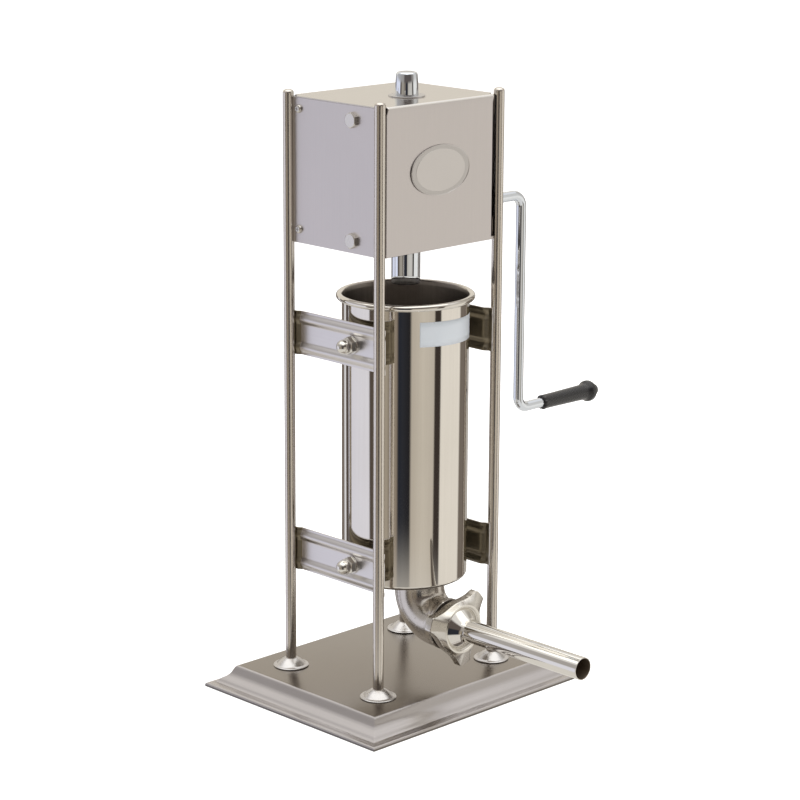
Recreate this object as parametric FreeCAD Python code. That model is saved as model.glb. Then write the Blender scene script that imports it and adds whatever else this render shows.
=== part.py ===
import FreeCAD, Part
import math
import os

# Sausage stuffer, vertical, hand cranked.  Millimetres.
# +Z is up, -Y is the front (outlet side), +X is the crank side.
# The origin is the middle of the base, on the bench.

V = FreeCAD.Vector
UP = V(0, 0, 1)
RIGHT = V(1, 0, 0)
FRONT = V(0, -1, 0)

# ---- driving dimensions ----
POST_X = 90.0
POST_Y = 70.8
POST_R = 6.0
POST_TOP = 679.0

BASE_TOP = 25.0
BASE_HALF_X = 134.0
BASE_HALF_Y = 111.0
BASE_SHEET = 1.5

BOX_BOTTOM = 513.0
BOX_TOP = 672.5
BOX_SIDE_X = 88.0
BOX_FRONT_Y = 73.0
SIDE_PLATE = 3.0
SHEET = 1.5

AXIS_Y = -19.3
CYL_R = 70.0
CYL_WALL = 1.5
CYL_BOTTOM = 136.5
CYL_TOP = 457.7
BEAD_R = 3.6

BRACKET_X = 79.5
BRACKET_SHEET = 2.0
BRACKET_HEIGHT = 49.0
BRACKET_LEVELS = {"lower": 162.8, "upper": 410.7}

STUD_R = 5.0

OUTLET_Y = -44.0
OUTLET_Z = 92.0
OUTLET_R = 28.0
OUTLET_BORE = 22.0
OUTLET_BEND = 33.0
THREAD_R = 25.0
THREAD_START = -88.0
THREAD_END = -107.0

NUT_FRONT = -113.0
NUT_BACK = -96.0
NUT_R = 29.5
NUT_TIP_R = 46.0
TUBE_R = 12.4
TUBE_WALL = 0.9
TUBE_END = -288.5

RAM_BOTTOM = 468.0
SLEEVE_R = 16.0
SLEEVE_TOP = 664.0
ROD_R = 12.95
RAM_CAP_TOP = 698.5

SHAFT_Z = 544.0
SHAFT_R = 6.0
CRANK_R = 5.75
CRANK_X = 184.0
CRANK_RADIUS = 250.5
CRANK_BEND = 14.0
GRIP_START = 223.5
GRIP_BODY_END = 300.0
GRIP_END = 313.0

GEAR_MODULE = 2.0
PINION_TEETH = 12
CROWN_TEETH = 24

RUNNING_GAP = 0.05


def cylinder(radius, length, start, direction=UP):
    return Part.makeCylinder(radius, length, start, direction)


def ring(outer, inner, length, start, direction=UP):
    return cylinder(outer, length, start, direction).cut(cylinder(inner, length, start, direction))


def box(x0, x1, y0, y1, z0, z1):
    return Part.makeBox(x1 - x0, y1 - y0, z1 - z0, V(x0, y0, z0))


def fuse(shapes):
    shapes = list(shapes)
    result = shapes[0]
    if len(shapes) > 1:
        result = shapes[0].multiFuse(shapes[1:])
    return result.removeSplitter()


def group(shapes):
    return Part.makeCompound(list(shapes))


def polygon(points):
    return Part.makePolygon(list(points) + [points[0]])


def spin(points, centre, axis=UP):
    """Solid of revolution of (radius, height) points about an axis through centre."""
    across = RIGHT if abs(axis.x) < 0.5 else UP
    outline = [centre + across * radius + axis * height for radius, height in points]
    return Part.Face(polygon(outline)).revolve(centre, axis, 360)


def hexagon(across_flats, height, start, direction=UP):
    radius = across_flats / math.sqrt(3.0)
    side_a = RIGHT if abs(direction.x) < 0.5 else UP
    side_b = direction.cross(side_a)
    corners = []
    for k in range(6):
        turn = math.radians(60 * k)
        corners.append(start + side_a * (radius * math.cos(turn)) + side_b * (radius * math.sin(turn)))
    return Part.Face(polygon(corners)).extrude(direction * height)


def hex_chamfered(across_flats, height, start, direction=UP):
    """Hexagon with its outer end turned to a 30 degree chamfer."""
    corner = across_flats / math.sqrt(3.0)
    flat = across_flats / 2.0
    lip = (corner - flat * 0.95) * math.tan(math.radians(30))
    outline = [(0, 0), (corner, 0), (corner, height - lip), (flat * 0.95, height), (0, height)]
    return hexagon(across_flats, height, start, direction).common(spin(outline, start, direction))


def mirror_x(shape):
    return shape.mirror(V(0, 0, 0), RIGHT)


def post_positions():
    for side_name, x in (("left", -POST_X), ("right", POST_X)):
        for end_name, y in (("front", -POST_Y), ("rear", POST_Y)):
            yield end_name + "_" + side_name, x, y


# ---- base ----

def base_ring(offset, z, inset=0.0):
    x = BASE_HALF_X + offset - inset
    y = BASE_HALF_Y + offset - inset
    return polygon([V(-x, -y, z), V(x, -y, z), V(x, y, z), V(-x, y, z)])


BASE_PROFILE = [
    (27.0, 0.0), (27.0, 2.4), (26.2, 3.7), (24.0, 4.4), (20.8, 4.8), (18.4, 5.7), (16.6, 7.2),
    (15.2, 8.8), (13.0, 10.4), (10.5, 12.0), (8.0, 14.2), (5.6, 17.3), (4.2, 20.2), (2.9, 22.8),
    (1.5, 24.4), (0.0, 25.0),
]


def base_plate():
    outer = Part.makeLoft([base_ring(t, z) for t, z in BASE_PROFILE], True, True)
    inner_rings = [base_ring(BASE_PROFILE[0][0], -1.0, BASE_SHEET)]
    for t, z in BASE_PROFILE[1:-2]:
        inner_rings.append(base_ring(t, z - BASE_SHEET * 0.6, BASE_SHEET))
    inner_rings.append(base_ring(0.0, BASE_TOP - BASE_SHEET, BASE_SHEET))
    shell = outer.cut(Part.makeLoft(inner_rings, True, True))
    for _, x, y in post_positions():
        shell = shell.cut(cylinder(POST_R, 4, V(x, y, BASE_TOP - 3)))
    return shell


def post(x, y):
    dome = 3.6
    sphere_r = (POST_R ** 2 + dome ** 2) / (2 * dome)
    rod = cylinder(POST_R, POST_TOP - 8.0, V(x, y, 8.0))
    cap = Part.makeSphere(sphere_r, V(x, y, POST_TOP - sphere_r))
    tall = cylinder(POST_R, POST_TOP - dome - 8.0, V(x, y, 8.0))
    return tall.fuse(rod.common(cap)).removeSplitter()


def foot_flange(x, y):
    outline = [
        (POST_R, 0.0), (19.4, 0.0), (20.0, 0.6), (19.8, 1.3), (18.6, 1.7), (16.4, 1.8), (15.0, 3.0),
        (13.0, 5.4), (10.6, 7.5), (8.4, 8.9), (6.9, 9.5), (POST_R, 9.6),
    ]
    return spin(outline, V(x, y, BASE_TOP))


def under_washer(x, y):
    return ring(14.0, POST_R, 2.0, V(x, y, BASE_TOP - BASE_SHEET - 2.0))


def under_nut(x, y):
    z = BASE_TOP - BASE_SHEET - 12.0
    return hex_chamfered(18.0, 10.0, V(x, y, z + 10.0), V(0, 0, -1)).cut(cylinder(POST_R, 12, V(x, y, z - 1)))


# ---- brackets that carry the cylinder ----

def bracket_outline():
    """Plan view of the pressed strip on the left side, as outer-edge points (x, y)."""
    outer = BRACKET_X + BRACKET_SHEET / 2.0
    tab = POST_X - POST_R
    outer_edge = [(-tab, -72.5), (-tab, -67.0), (-outer, -61.5), (-outer, 61.5), (-tab, 67.0), (-tab, 72.5)]
    inner_edge = [(x + BRACKET_SHEET, y) for x, y in outer_edge]
    return outer_edge + inner_edge[::-1]


def bracket(level):
    low = level - BRACKET_HEIGHT / 2.0
    strip = Part.Face(polygon([V(x, y, low) for x, y in bracket_outline()])).extrude(V(0, 0, BRACKET_HEIGHT))
    outer = BRACKET_X + BRACKET_SHEET / 2.0
    for dz in (-16.0, 16.0):
        strip = add_rib(strip, outer, level + dz)
    strip = strip.cut(cylinder(STUD_R + 0.3, 10, V(-outer - 5, AXIS_Y, level), RIGHT))
    return strip.removeSplitter()


def add_rib(strip, outer, z):
    """Press a half-round rib outwards along the strip, hollow on the inner face."""
    half = 57.0
    bulge = rib_solid(outer, z, 5.6, half)
    dent = rib_solid(outer - BRACKET_SHEET, z, 4.2, half - 1.4)
    return strip.fuse(bulge).cut(dent)


def rib_solid(x_face, z, radius, half):
    bar = cylinder(radius, 2 * half, V(-x_face, -half, z), V(0, 1, 0))
    ends = [Part.makeSphere(radius, V(-x_face, y, z)) for y in (-half, half)]
    squash = FreeCAD.Matrix()
    squash.A11 = 0.55
    squash.A14 = -x_face * (1 - 0.55)
    rib = fuse([bar] + ends).transformGeometry(squash)
    return rib.common(box(-x_face - 10, -x_face, -100, 100, z - 10, z + 10))


def cylinder_boss(level):
    start = V(-BRACKET_X + BRACKET_SHEET / 2.0, AXIS_Y, level)
    boss = ring(10.0, STUD_R, 12.0, start, RIGHT)
    return boss.cut(cylinder(CYL_R, 400, V(0, AXIS_Y, 100)))


def stud(level):
    """M10 stud from the boss, through the strip and into the acorn nut."""
    return cylinder(STUD_R, 23.7, V(-94.2, AXIS_Y, level), RIGHT)


def stud_washer(level):
    outer = BRACKET_X + BRACKET_SHEET / 2.0
    return ring(10.0, STUD_R, 2.0, V(-outer - 2.0, AXIS_Y, level), RIGHT)


def acorn_nut(level):
    face = -BRACKET_X - BRACKET_SHEET / 2.0 - 2.0
    start = V(face, AXIS_Y, level)
    left = V(-1, 0, 0)
    body = hex_chamfered(17.0, 7.0, start, left)
    dome = [(0, 6.0), (7.8, 6.0), (7.9, 10.0), (7.4, 13.0), (6.0, 15.9), (3.8, 18.0), (0, 19.0)]
    nut = body.fuse(spin(dome, start, left))
    return nut.cut(cylinder(STUD_R, 12.0, start, left)).removeSplitter()


def both_sides(maker):
    shapes = []
    for level in BRACKET_LEVELS.values():
        left = maker(level)
        shapes += [left, mirror_x(left)]
    return group(shapes)


# ---- meat cylinder and outlet ----

def meat_cylinder():
    inner = CYL_R - CYL_WALL
    outline = [
        (0, CYL_BOTTOM), (CYL_R - 5.0, CYL_BOTTOM), (CYL_R - 2.6, CYL_BOTTOM + 0.8),
        (CYL_R - 0.8, CYL_BOTTOM + 2.6), (CYL_R, CYL_BOTTOM + 5.0), (CYL_R, CYL_TOP - BEAD_R),
        (inner, CYL_TOP - BEAD_R), (inner, CYL_BOTTOM + 5.0), (inner - 0.8, CYL_BOTTOM + 3.2),
        (CYL_R - 5.0, CYL_BOTTOM + CYL_WALL), (0, CYL_BOTTOM + CYL_WALL),
    ]
    shell = spin(outline, V(0, AXIS_Y, 0))
    bead = Part.makeTorus(CYL_R + BEAD_R - 0.8, BEAD_R, V(0, AXIS_Y, CYL_TOP - BEAD_R))
    mouth = [
        (inner, -9.0), (inner, -4.4), (inner + 0.35, -2.6), (inner + 1.2, -1.0), (inner + 2.6, 0.1), (0, 0.1),
        (0, -9.0),
    ]
    shell = shell.fuse(bead).cut(spin(mouth, V(0, AXIS_Y, CYL_TOP)))
    shell = shell.cut(cylinder(OUTLET_BORE, 6, V(0, OUTLET_Y, CYL_BOTTOM - 2)))
    return shell.removeSplitter()


def bent_pipe(radius, top, end):
    """Solid along the outlet centre line: down from the cylinder, round the bend, out to the front."""
    bend_y = OUTLET_Y - OUTLET_BEND
    bend_z = OUTLET_Z + OUTLET_BEND
    drop = cylinder(radius, top - bend_z, V(0, OUTLET_Y, bend_z))
    leg = cylinder(radius, bend_y - end, V(0, bend_y, OUTLET_Z), FRONT)
    disc = Part.Face(Part.Wire(Part.makeCircle(radius, V(0, OUTLET_Y, bend_z), UP)))
    bend = disc.revolve(V(0, bend_y, bend_z), RIGHT, -90)
    return fuse([drop, bend, leg])


def outlet_elbow():
    body = bent_pipe(OUTLET_R, CYL_BOTTOM, THREAD_START)
    collar = cylinder(OUTLET_R + 0.4, 4.0, V(0, OUTLET_Y, CYL_BOTTOM - 4.0))
    thread = threaded_end()
    solid = fuse([body, collar, thread])
    return solid.cut(bent_pipe(OUTLET_BORE, CYL_BOTTOM + 1, THREAD_END - 1)).removeSplitter()


def threaded_end():
    """Coarse thread drawn as plain ring grooves."""
    outline = [(0, 0)]
    length = THREAD_START - THREAD_END
    pitch = 3.0
    count = int(length / pitch)
    for k in range(count):
        base = k * pitch
        outline += [(THREAD_R - 1.4, base), (THREAD_R - 1.4, base + 0.6), (THREAD_R, base + 1.6),
                    (THREAD_R, base + 2.2)]
    outline += [(THREAD_R - 1.4, length), (0, length)]
    return spin(outline, V(0, THREAD_START, OUTLET_Z), FRONT)


def outlet_gasket():
    return ring(THREAD_R - 0.4, OUTLET_BORE, 1.0, V(0, THREAD_END, OUTLET_Z), FRONT)


def stuffing_tube():
    """Flanged funnel that necks down to the horn, hollow right through."""
    seat = THREAD_END - 1.0
    outer = [
        (THREAD_R - 0.4, 0.0), (THREAD_R - 0.4, 1.4), (23.4, 1.6), (14.2, 11.6), (13.1, 13.2), (12.6, 14.8),
        (TUBE_R, 16.5), (TUBE_R, seat - TUBE_END),
    ]
    wall = TUBE_WALL
    inner = [
        (TUBE_R - wall, seat - TUBE_END), (TUBE_R - wall, 16.2), (12.6 - wall, 14.4), (13.1 - wall, 12.6),
        (14.2 - wall, 10.7), (22.6 - wall, 1.6), (OUTLET_BORE, 0.0),
    ]
    return spin(outer + inner, V(0, seat, OUTLET_Z), FRONT)


def nut_star(radius_scale, y, depth):
    """Three-winged outline with hollow flanks, extruded towards the front."""
    corners = []
    for k in range(3):
        centre = 43.0 + 120.0 * k
        for turn, radius in ((-60, NUT_R), (-36, NUT_R + 0.4), (-22, NUT_R + 3.4), (-13, NUT_R + 8.0),
                             (-9.5, NUT_TIP_R - 1.0), (-6.5, NUT_TIP_R), (6.5, NUT_TIP_R),
                             (9.5, NUT_TIP_R - 1.0), (13, NUT_R + 8.0), (22, NUT_R + 3.4), (36, NUT_R + 0.4)):
            angle = math.radians(centre + turn)
            r = radius * radius_scale
            corners.append(V(r * math.cos(angle), y, OUTLET_Z + r * math.sin(angle)))
    return Part.Face(polygon(corners)).extrude(V(0, -depth, 0))


def wing_nut():
    depth = NUT_BACK - NUT_FRONT
    star = nut_star(1.0, NUT_BACK, depth)
    face = [
        (0, 0), (NUT_R, 0), (NUT_R + 2.0, 1.5), (NUT_TIP_R, 3.0), (NUT_TIP_R + 1, 3.0), (NUT_TIP_R + 1, 10.0),
        (NUT_TIP_R - 2.0, 11.0), (NUT_R + 2.0, depth - 1.2), (NUT_R - 1.0, depth), (0, depth),
    ]
    body = star.common(spin(face, V(0, NUT_BACK, OUTLET_Z), FRONT))
    bore = [
        (0, -1), (THREAD_R + 0.3, -1), (THREAD_R + 0.3, depth - 3.4), (23.6, depth - 3.4),
        (23.6, depth - 1.0), (24.6, depth + 0.1), (0, depth + 0.1),
    ]
    return body.cut(spin(bore, V(0, NUT_BACK, OUTLET_Z), FRONT)).removeSplitter()


def cylinder_label():
    """Plain blank label on the front of the cylinder."""
    band = ring(CYL_R + 0.25, CYL_R, 30.0, V(0, AXIS_Y, 408.5))
    wedge = [V(0, AXIS_Y, 400)]
    for angle in (237.5, 257, 277, 297, 316):
        turn = math.radians(angle)
        wedge.append(V(90 * math.cos(turn), AXIS_Y + 90 * math.sin(turn), 400))
    return band.common(Part.Face(polygon(wedge)).extrude(V(0, 0, 50)))


# ---- gear box ----

def post_notches(shape, gap=0.3):
    for _, x, y in post_positions():
        shape = shape.cut(cylinder(POST_R + gap, 200, V(x, y, BOX_BOTTOM - 10)))
    return shape


def gearbox_cover():
    """Front, top and rear folded from one sheet; the top lies over the side plates."""
    half = BOX_SIDE_X
    outer_r = 2.6
    outer = box(-half, half, -BOX_FRONT_Y, BOX_FRONT_Y, BOX_BOTTOM, BOX_TOP)
    outer = outer.makeFillet(outer_r, top_edges(outer, "x"))
    inner = box(-half - 1, half + 1, -BOX_FRONT_Y + SHEET, BOX_FRONT_Y - SHEET, BOX_BOTTOM - 1, BOX_TOP - SHEET)
    inner = inner.makeFillet(outer_r - SHEET, top_edges(inner, "x"))
    cover = outer.cut(inner)
    for x0, x1 in ((-half - 1, -half + SIDE_PLATE), (half - SIDE_PLATE, half + 1)):
        cover = cover.cut(box(x0, x1, -80, 80, BOX_BOTTOM - 1, BOX_TOP - SHEET))
    cover = post_notches(cover, 4.2)
    cover = cover.makeFillet(0.9, top_edges(cover, "y"))
    return cover.cut(cylinder(17.0, 10, V(0, AXIS_Y, BOX_TOP - 5)))


def top_edges(shape, direction):
    """Long straight edges of the upper surface that run along x or y."""
    found = []
    for edge in shape.Edges:
        first, last = edge.Vertexes[0].Point, edge.Vertexes[-1].Point
        run = abs(first.x - last.x) if direction == "x" else abs(first.y - last.y)
        level = abs(first.z - last.z) < 0.001
        high = first.z > shape.BoundBox.ZMax - 0.01
        if run > 100 and level and high:
            found.append(edge)
    return found


def side_fasteners():
    """(y, z, kind) of the fasteners on each side plate."""
    return [(-27.5, 655.6, "hex"), (-27.5, 526.6, "hex"), (56.0, 659.0, "pan"), (56.0, 528.0, "pan")]


def gearbox_side():
    inner = BOX_SIDE_X - SIDE_PLATE
    edge_y = POST_Y - 1.0
    plate = post_notches(box(-BOX_SIDE_X, -inner, -edge_y, edge_y, BOX_BOTTOM, BOX_TOP - SHEET), 0.02)
    for y, z, kind in side_fasteners():
        radius = STUD_R if kind == "hex" else 2.5
        plate = plate.cut(cylinder(radius, 10, V(-BOX_SIDE_X - 2, y, z), RIGHT))
    return plate


def gearbox_side_right():
    plate = mirror_x(gearbox_side())
    return plate.cut(cylinder(8.0, 10, V(BOX_SIDE_X - 6, AXIS_Y, SHAFT_Z), RIGHT))


def gearbox_tray():
    """Bottom plate with turned-up flanges that take the lower side fasteners."""
    half_x = BOX_SIDE_X - SIDE_PLATE
    half_y = BOX_FRONT_Y - SHEET
    floor = box(-half_x, half_x, -half_y, half_y, BOX_BOTTOM, BOX_BOTTOM + 3.0)
    flanges = [box(x, x + 3.0, -60, 60, BOX_BOTTOM, BOX_BOTTOM + 22.0) for x in (-half_x, half_x - 3.0)]
    tray = post_notches(fuse([floor] + flanges))
    tray = tray.cut(cylinder(21.0, 10, V(0, AXIS_Y, BOX_BOTTOM - 2)))
    tray = tray.cut(cylinder(21.3, 10, V(half_x - 6.0, AXIS_Y, SHAFT_Z), RIGHT))
    for y, z, kind in side_fasteners():
        radius = STUD_R if kind == "hex" else 2.5
        tray = tray.cut(cylinder(radius, 200, V(-100, y, z), RIGHT))
    return tray


def top_cleats():
    """Angle strips inside the cover that take the upper side fasteners."""
    half_x = BOX_SIDE_X - SIDE_PLATE
    inside_top = BOX_TOP - SHEET
    upright = box(-half_x, -half_x + 3.0, -60, 60, inside_top - 22.0, inside_top)
    shelf = box(-half_x, -half_x + 14.0, -60, 60, inside_top - 3.0, inside_top)
    cleat = fuse([upright, shelf])
    for y, z, kind in side_fasteners():
        radius = STUD_R if kind == "hex" else 2.5
        cleat = cleat.cut(cylinder(radius, 20, V(-half_x - 5, y, z), RIGHT))
    return group([cleat, mirror_x(cleat)])


def side_hex_bolt(y, z):
    head = hex_chamfered(15.0, 4.6, V(-BOX_SIDE_X, y, z), V(-1, 0, 0))
    return head.fuse(cylinder(STUD_R, 9.0, V(-BOX_SIDE_X, y, z), RIGHT)).removeSplitter()


def side_pan_screw(y, z):
    head = [(0, 0), (4.6, 0), (4.6, 1.2), (4.1, 2.3), (2.8, 3.0), (0, 3.2)]
    screw = spin(head, V(-BOX_SIDE_X, y, z), V(-1, 0, 0)).fuse(cylinder(2.5, 9.0, V(-BOX_SIDE_X, y, z), RIGHT))
    for width, height in ((1.0, 4.6), (4.6, 1.0)):
        screw = screw.cut(box(-BOX_SIDE_X - 4, -BOX_SIDE_X - 1.9, y - width / 2, y + width / 2,
                              z - height / 2, z + height / 2))
    return screw.removeSplitter()


def side_fastener_group(kind, maker):
    shapes = []
    for y, z, this_kind in side_fasteners():
        if this_kind == kind:
            left = maker(y, z)
            shapes += [left, mirror_x(left)]
    return group(shapes)


def ellipse_plate(half_x, half_z, y_front, depth):
    centre = V(-2.5, y_front, 599.0)
    curve = Part.Ellipse(centre + V(half_x, 0, 0), centre + V(0, 0, half_z), centre)
    return Part.Face(Part.Wire(curve.toShape())).extrude(V(0, depth, 0))


def front_badge():
    """Blank oval plate with a raised border."""
    plate = ellipse_plate(44.3, 27.4, -BOX_FRONT_Y - 1.6, 1.6)
    return plate.cut(ellipse_plate(40.8, 23.9, -BOX_FRONT_Y - 2.0, 0.7))


def top_bush():
    gap = ROD_R + RUNNING_GAP
    flange = ring(20.0, gap, 1.3, V(0, AXIS_Y, BOX_TOP))
    barrel = ring(17.0, gap, 7.0, V(0, AXIS_Y, BOX_TOP - 7.0))
    return fuse([flange, barrel])


def ram_nut():
    """Fixed bronze nut in the floor of the gear box that the ram sleeve screws through."""
    bore = SLEEVE_R + RUNNING_GAP
    body = ring(20.95, bore, 14.0, V(0, AXIS_Y, 504.5))
    flange = ring(30.0, bore, 2.5, V(0, AXIS_Y, BOX_BOTTOM + 3.0))
    nut = fuse([body, flange])
    for x, y in ram_nut_screw_places():
        nut = nut.cut(cylinder(2.0, 10, V(x, y, BOX_BOTTOM)))
    return nut


def ram_nut_screw_places():
    places = []
    for k in range(4):
        angle = math.radians(45 + 90 * k)
        places.append((25.6 * math.cos(angle), AXIS_Y + 25.6 * math.sin(angle)))
    return places


def ram_nut_rivets():
    return group(cylinder(2.0, 2.5, V(x, y, BOX_BOTTOM + 3.0)) for x, y in ram_nut_screw_places())


def crown_washer():
    return ring(28.0, SLEEVE_R + 0.6, 0.9, V(0, AXIS_Y, BOX_BOTTOM + 5.5))


def bearing_housing():
    barrel = ring(13.0, 8.0, 52.0, V(30.0, AXIS_Y, SHAFT_Z), RIGHT)
    flange = ring(21.0, 8.0, 3.0, V(82.0, AXIS_Y, SHAFT_Z), RIGHT)
    web = box(34.0, 82.0, AXIS_Y - 3.0, AXIS_Y + 3.0, SHAFT_Z + 11.0, SHAFT_Z + 19.0)
    housing = fuse([barrel, flange, web])
    for y, z, kind in side_fasteners():
        if kind == "hex":
            housing = housing.cut(cylinder(STUD_R, 20, V(75.0, y, z), RIGHT))
    return housing


def shaft_bushes():
    bore = SHAFT_R + RUNNING_GAP
    return group(ring(8.0, bore, 12.0, V(x, AXIS_Y, SHAFT_Z), RIGHT) for x in (30.0, 70.0))


def shaft_washer():
    return ring(10.2, SHAFT_R + 0.3, 3.6, V(BOX_SIDE_X, AXIS_Y, SHAFT_Z), RIGHT)


# ---- drive ----

def drive_shaft():
    shaft = cylinder(SHAFT_R, 74.0, V(18.6, AXIS_Y, SHAFT_Z), RIGHT)
    bore = CRANK_R + 0.02
    hub = [
        (0, 0), (10.4, 0), (11.0, 0.6), (11.0, 32.4), (10.4, 33.0), (bore, 33.0), (bore, 8.0), (0, 8.0),
    ]
    body = fuse([shaft, spin(hub, V(92.0, AXIS_Y, SHAFT_Z), RIGHT)])
    return body.cut(cylinder(2.5, 20, V(112.0, AXIS_Y, SHAFT_Z + CRANK_R - 1.0)))


def lock_screw():
    """Knurled thumb screw that holds the crank in its socket."""
    start = V(112.0, AXIS_Y, SHAFT_Z + CRANK_R)
    outline = [(0, 0), (2.5, 0), (2.5, 8.0), (6.6, 8.0), (7.2, 8.6), (7.2, 14.4), (6.6, 15.0), (0, 15.0)]
    return spin(outline, start)


def crank_rod():
    """Round bar bent twice at right angles: socket end, arm and grip spindle."""
    start_x = 100.0
    low_z = SHAFT_Z - CRANK_RADIUS
    end_x = GRIP_END - 2.0
    first_bend = V(CRANK_X - CRANK_BEND, AXIS_Y, SHAFT_Z)
    arm_top = V(CRANK_X, AXIS_Y, SHAFT_Z - CRANK_BEND)
    arm_low = V(CRANK_X, AXIS_Y, low_z + CRANK_BEND)
    spindle = V(CRANK_X + CRANK_BEND, AXIS_Y, low_z)
    return fuse([
        cylinder(CRANK_R, first_bend.x - start_x, V(start_x, AXIS_Y, SHAFT_Z), RIGHT),
        bend_quarter(first_bend, RIGHT, first_bend - UP * CRANK_BEND),
        cylinder(CRANK_R, arm_top.z - arm_low.z, arm_low, UP),
        bend_quarter(arm_low, V(0, 0, -1), arm_low + RIGHT * CRANK_BEND),
        cylinder(CRANK_R, end_x - spindle.x, spindle, RIGHT),
    ])


def bend_quarter(start, heading, centre):
    """Quarter bend of the bar from start, heading along heading, about centre."""
    disc = Part.Face(Part.Wire(Part.makeCircle(CRANK_R, start, heading)))
    axis = (start - centre).cross(heading)
    return disc.revolve(centre, axis, 90)


def crank_grip():
    low_z = SHAFT_Z - CRANK_RADIUS
    body = GRIP_BODY_END - GRIP_START
    total = GRIP_END - GRIP_START
    bore = CRANK_R + 0.08
    outline = [
        (bore, 0), (7.2, 0), (8.2, 0.8), (8.4, 2.0), (8.9, body * 0.5), (9.3, body - 4), (10.2, body - 1.2),
        (11.8, body + 1.2), (12.5, body + 3.4), (12.5, body + 6.2), (11.8, body + 8.6), (10.0, total - 0.8),
        (8.6, total), (bore, total),
    ]
    return spin(outline, V(GRIP_START, AXIS_Y, low_z), RIGHT)


def grip_screw():
    """Dome-headed screw in the end of the spindle that keeps the grip on."""
    start = V(GRIP_END - 2.0, AXIS_Y, SHAFT_Z - CRANK_RADIUS)
    outline = [
        (0, 0), (3.5, 0), (3.5, 2.3), (7.2, 2.3), (7.6, 2.9), (7.4, 4.4), (6.2, 6.6), (4.0, 8.4), (0, 9.2),
    ]
    return spin(outline, start, RIGHT)


def drive_pinion():
    root_r = GEAR_MODULE * (PINION_TEETH / 2.0 - 1.25)
    tip_r = GEAR_MODULE * (PINION_TEETH / 2.0 + 1.0) - 0.1
    pitch_r = GEAR_MODULE * PINION_TEETH / 2.0
    pitch = 360.0 / PINION_TEETH
    corners = []
    for k in range(PINION_TEETH):
        for part, radius in ((-0.30, root_r), (-0.185, pitch_r), (-0.075, tip_r), (0.075, tip_r),
                             (0.185, pitch_r), (0.30, root_r)):
            angle = math.radians((k + part) * pitch)
            corners.append(V(20.4, AXIS_Y + radius * math.sin(angle), SHAFT_Z - radius * math.cos(angle)))
    gear = Part.Face(polygon(corners)).extrude(V(7.2, 0, 0))
    return gear.cut(cylinder(SHAFT_R, 20, V(15.0, AXIS_Y, SHAFT_Z), RIGHT))


def crown_wheel():
    """Face gear under the pinion; two tongues turn the ram sleeve through its keyways."""
    pitch_plane = SHAFT_Z - GEAR_MODULE * PINION_TEETH / 2.0
    root_z = pitch_plane - 1.25 * GEAR_MODULE
    tip_z = pitch_plane + GEAR_MODULE - 0.2
    bottom = BOX_BOTTOM + 6.4
    blank = ring(29.0, SLEEVE_R + 0.3, root_z - bottom, V(0, AXIS_Y, bottom))
    teeth = [crown_tooth(k, root_z, tip_z, pitch_plane) for k in range(CROWN_TEETH)]
    tongues = [box(-2.2, 2.2, AXIS_Y + y0, AXIS_Y + y1, bottom, root_z) for y0, y1 in ((14.9, 17.5), (-17.5, -14.9))]
    return fuse([blank] + teeth + tongues)


def crown_tooth(index, root_z, tip_z, pitch_plane):
    """Radial wedge tooth, half a pitch out of step with the pinion tooth at bottom dead centre."""
    angle = 360.0 / CROWN_TEETH * (index + 0.5)
    inner, outer = 21.0, 28.4
    wires = []
    for z, share in ((root_z - 0.5, 0.46), (pitch_plane, 0.32), (tip_z, 0.16)):
        half = math.radians(360.0 / CROWN_TEETH * share / 2.0)
        corners = []
        for radius, turn in ((inner, -half), (outer, -half), (outer, half), (inner, half)):
            corners.append(V(radius * math.cos(turn), AXIS_Y + radius * math.sin(turn), z))
        wires.append(polygon(corners))
    tooth = Part.makeLoft(wires, True, True)
    tooth.rotate(V(0, AXIS_Y, 0), UP, angle)
    return tooth


# ---- ram ----

def ram_sleeve():
    bore = ROD_R + RUNNING_GAP
    top = SLEEVE_TOP - RAM_BOTTOM
    outline = [
        (bore, 0), (SLEEVE_R - 0.8, 0), (SLEEVE_R, 0.8), (SLEEVE_R, top - 1.0),
        (SLEEVE_R - 1.0, top), (bore, top),
    ]
    sleeve = spin(outline, V(0, AXIS_Y, RAM_BOTTOM))
    for y0, y1 in ((14.6, 18.0), (-18.0, -14.6)):
        slot = box(-2.5, 2.5, AXIS_Y + y0, AXIS_Y + y1, BOX_BOTTOM + 5.0, SLEEVE_TOP + 1)
        sleeve = sleeve.cut(slot)
    return sleeve


def ram_rod():
    top = RAM_CAP_TOP - RAM_BOTTOM
    outline = [
        (0, 0), (11.6, 0), (ROD_R, 1.2), (ROD_R, BOX_TOP - RAM_BOTTOM), (12.7, BOX_TOP - RAM_BOTTOM + 1.5),
        (11.5, top - 2.4), (10.9, top - 1.0), (9.6, top - 0.2), (8.4, top), (0, top),
    ]
    return spin(outline, V(0, AXIS_Y, RAM_BOTTOM))


# ---- piston, resting at the bottom of the cylinder ----

PISTON_BASE = CYL_BOTTOM + CYL_WALL + 1.0
PISTON_R = 67.8


def piston_plate():
    outline = [
        (0, 0), (PISTON_R - 4.0, 0), (PISTON_R - 1.2, 1.2), (PISTON_R, 4.0), (PISTON_R, 5.0), (PISTON_R - 3.5, 5.0),
        (PISTON_R - 3.5, 11.0), (PISTON_R, 11.0), (PISTON_R, 13.0), (PISTON_R - 1.0, 14.0), (0, 14.0),
    ]
    plate = spin(outline, V(0, AXIS_Y, PISTON_BASE))
    return plate.cut(cylinder(5.2, 20, V(42.0, AXIS_Y, PISTON_BASE - 1)))


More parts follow.
